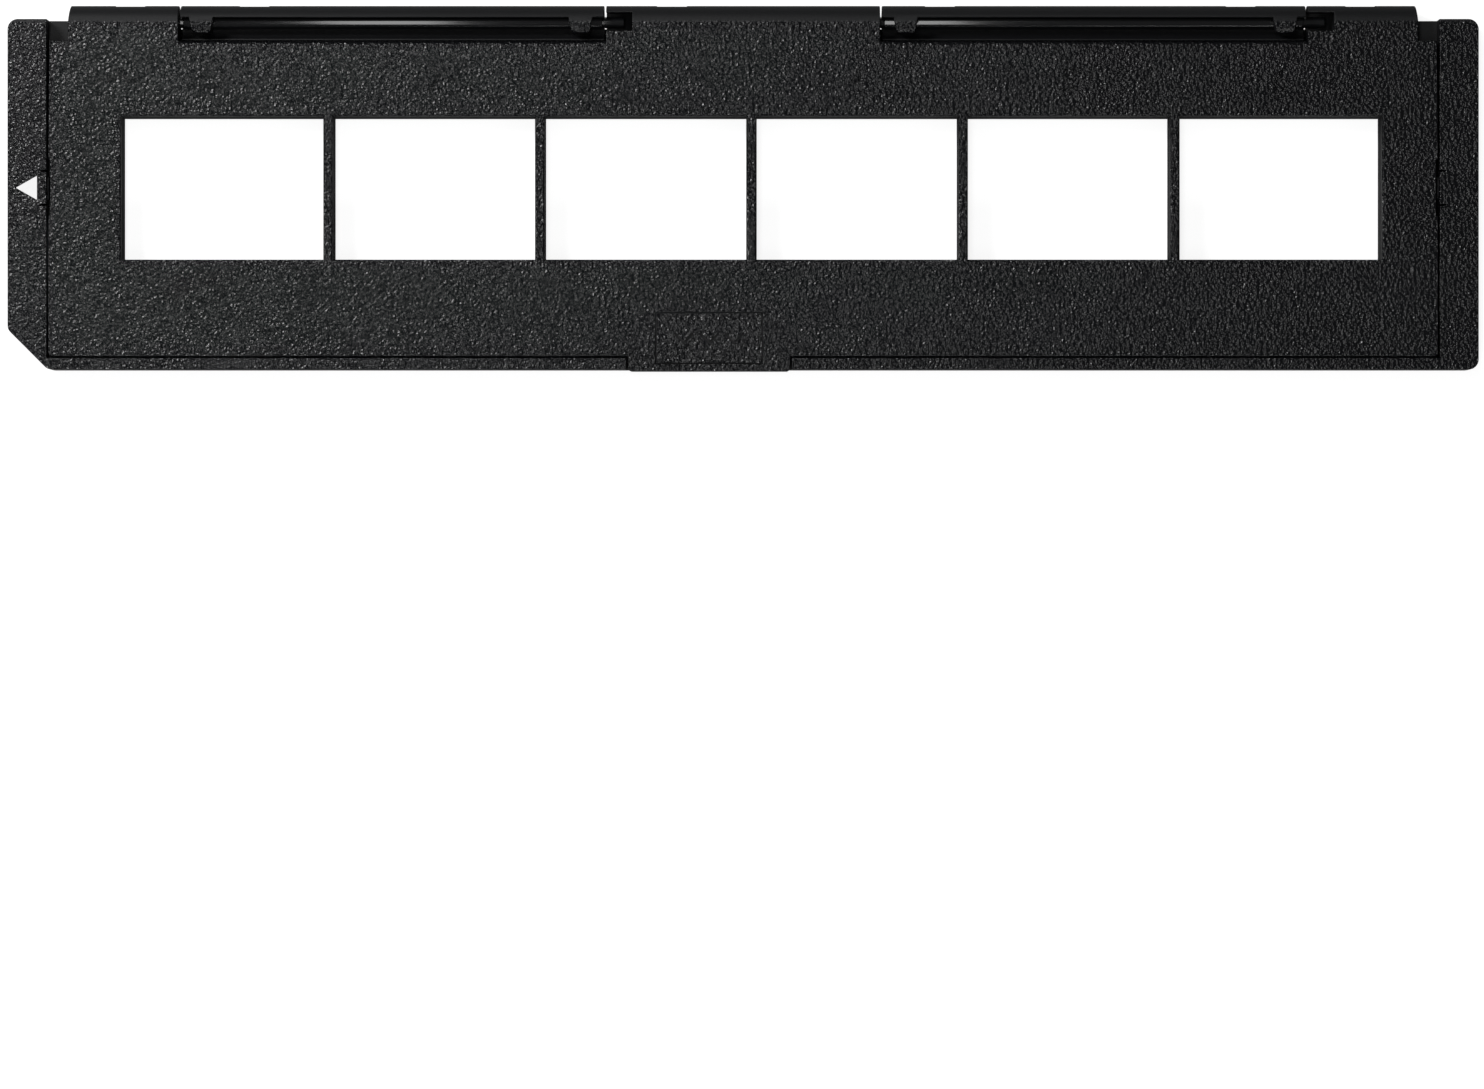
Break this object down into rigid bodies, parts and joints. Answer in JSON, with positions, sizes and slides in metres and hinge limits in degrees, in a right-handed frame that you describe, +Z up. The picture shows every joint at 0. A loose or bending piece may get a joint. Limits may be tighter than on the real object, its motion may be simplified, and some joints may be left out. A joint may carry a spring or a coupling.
{
  "type": "negative carrier",
  "caption": "Hinged film strip holder: a flat base tray with a row of windows and a lid that turns on rods in cradles and clamps the strip flat",
  "frame": {"origin": "bottom centre of the whole carrier's box, on the surface that the tray rests on", "axes": "+X along the film strip, towards the square-cornered end of the tray; +Y across it, towards the hinge; +Z up, out of the lid"},
  "size_m": [0.264, 0.0658, 0.006],
  "materials": {
    "tray_plastic": "moulded with a fine spark-eroded grain, near black",
    "lid_plastic": "moulded with a fine spark-eroded grain, near black",
    "rod_plastic": "smooth and glossy, near black"
  },
  "bodies": {
    "tray": {"tray": "tray_plastic", "hinge_rod_left": "rod_plastic", "hinge_rod_right": "rod_plastic"},
    "lid": {"lid": "lid_plastic"}
  },
  "joints": [
    {"name": "lid_hinge", "type": "hinge", "parent": "tray", "child": "lid", "pos_m": [0, 0.0299, 0.003], "axis": [-1, 0, 0], "range_deg": [0, 180]}
  ]
}
